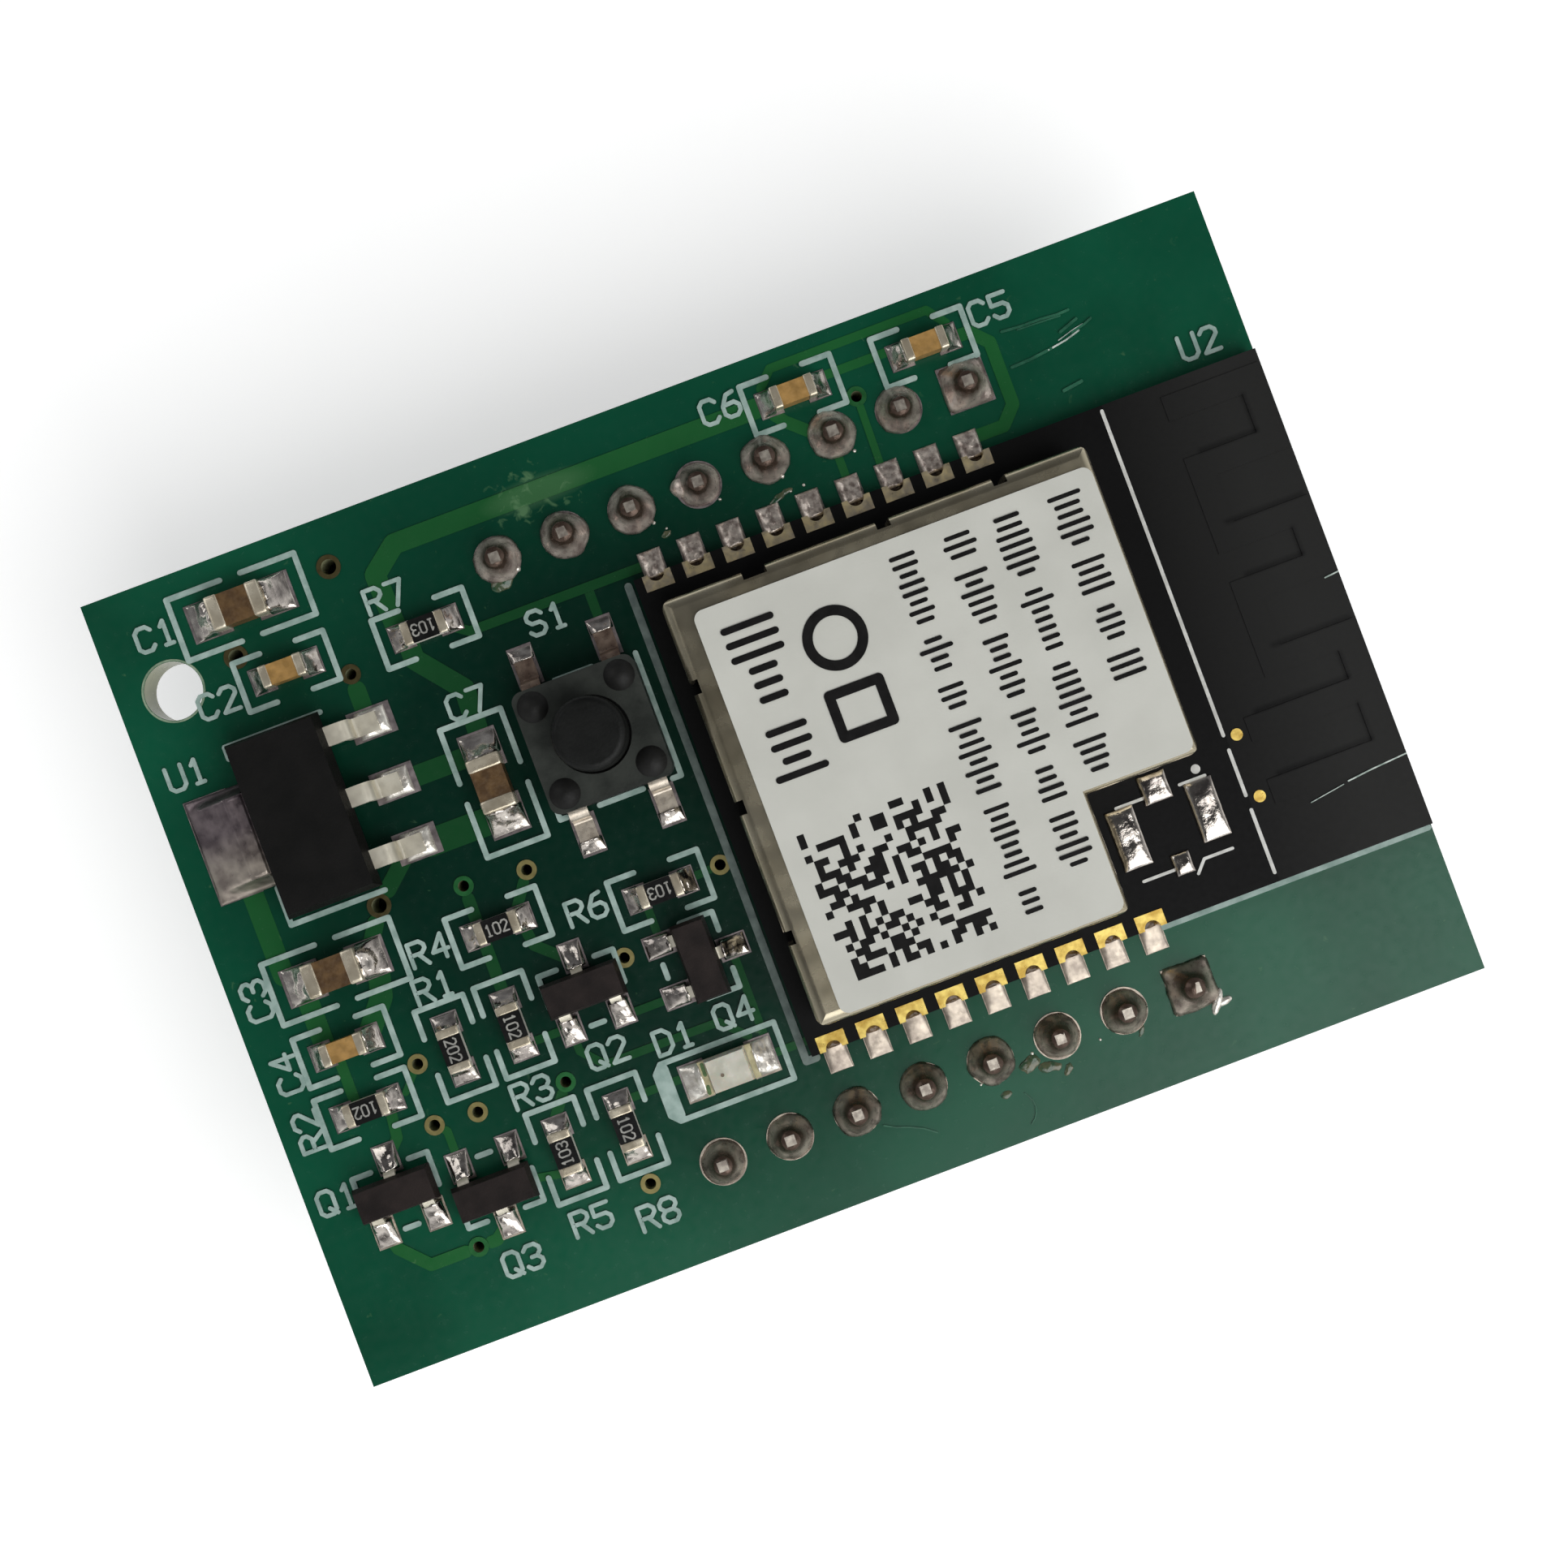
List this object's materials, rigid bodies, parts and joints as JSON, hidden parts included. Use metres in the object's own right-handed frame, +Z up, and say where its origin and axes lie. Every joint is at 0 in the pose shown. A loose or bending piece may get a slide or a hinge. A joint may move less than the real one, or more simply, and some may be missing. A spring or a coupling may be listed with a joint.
{
  "type": "wifi module",
  "caption": "Carrier board with a shielded wifi radio board, printed antenna, regulator, push switch, indicator light, small chips and rows of header pins.",
  "frame": {"origin": "middle of the board's outline, at the tips of the header pins", "axes": "+X along the board's long side toward the antenna, +Y toward the upper header row, +Z up"},
  "size_m": [0.0424, 0.0296, 0.0138],
  "materials": {
    "carrier_mask": "satin green solder mask",
    "tin": "dull tinned copper",
    "via_plating": "pale gold plating",
    "header_plastic": "matt moulded",
    "pin_metal": "plated, satin",
    "solder": "dull solder with bright spots",
    "radio_mask": "matt black solder mask",
    "gold_plating": "bright gold plating",
    "can_sheet": "satin folded sheet",
    "label_paper": "matt warm white",
    "moulded_black": "matt moulded",
    "moulded_brown": "matt moulded",
    "lead_metal": "tinned",
    "switch_plate": "dark satin plate",
    "switch_plastic": "satin moulded",
    "button_plastic": "satin moulded",
    "dome_steel": "bright spring steel",
    "light_base": "pale laminate",
    "light_lens": "pale clouded resin",
    "large_ceramic": "brown fired ceramic",
    "small_ceramic": "ochre fired ceramic",
    "chip_ends": "tinned ends",
    "alumina": "white fired ceramic",
    "resistor_coat": "glossy dark coat",
    "crystal_metal": "satin lid"
  },
  "bodies": {
    "board": {"main_board": "carrier_mask", "solder_lands": "tin", "via_rings": "via_plating", "upper_header_strip": "header_plastic", "lower_header_strip": "header_plastic", "upper_header_pins": "pin_metal", "lower_header_pins": "pin_metal", "upper_header_solder": "solder", "lower_header_solder": "solder", "radio_board": "radio_mask", "edge_contacts": "gold_plating", "edge_solder": "solder", "shield_can": "can_sheet", "shield_label": "label_paper", "antenna_track": "radio_mask", "test_dots": "gold_plating", "connector_lands": "tin", "radio_processor": "moulded_black", "radio_memory": "moulded_black", "radio_crystal": "crystal_metal", "radio_passives": "small_ceramic", "regulator_body": "moulded_black", "regulator_leads": "lead_metal", "regulator_tab": "lead_metal", "switch_base": "switch_plastic", "switch_cover": "switch_plate", "switch_dome": "dome_steel", "switch_terminals": "lead_metal", "light_base": "light_base", "light_lens": "light_lens", "light_terminals": "gold_plating", "capacitor_terminals": "chip_ends", "resistor_coats": "resistor_coat", "resistor_terminals": "chip_ends", "transistor_leads": "lead_metal", "chip_solder": "solder", "capacitor_1": "large_ceramic", "capacitor_2": "large_ceramic", "capacitor_3": "large_ceramic", "capacitor_4": "small_ceramic", "capacitor_5": "small_ceramic", "capacitor_6": "small_ceramic", "capacitor_7": "small_ceramic", "resistor_1": "alumina", "resistor_2": "alumina", "resistor_3": "alumina", "resistor_4": "alumina", "resistor_5": "alumina", "resistor_6": "alumina", "resistor_7": "alumina", "resistor_8": "alumina", "transistor_1": "moulded_brown", "transistor_2": "moulded_brown", "transistor_3": "moulded_brown", "transistor_4": "moulded_brown"},
    "button": {"switch_button": "button_plastic"}
  },
  "joints": [
    {"name": "button_press", "type": "slide", "parent": "board", "child": "button", "axis": [0, 0, -1], "range_m": [0, 0.00025], "stiffness_N_per_m": 6400, "deforming": ["switch_dome"]}
  ]
}
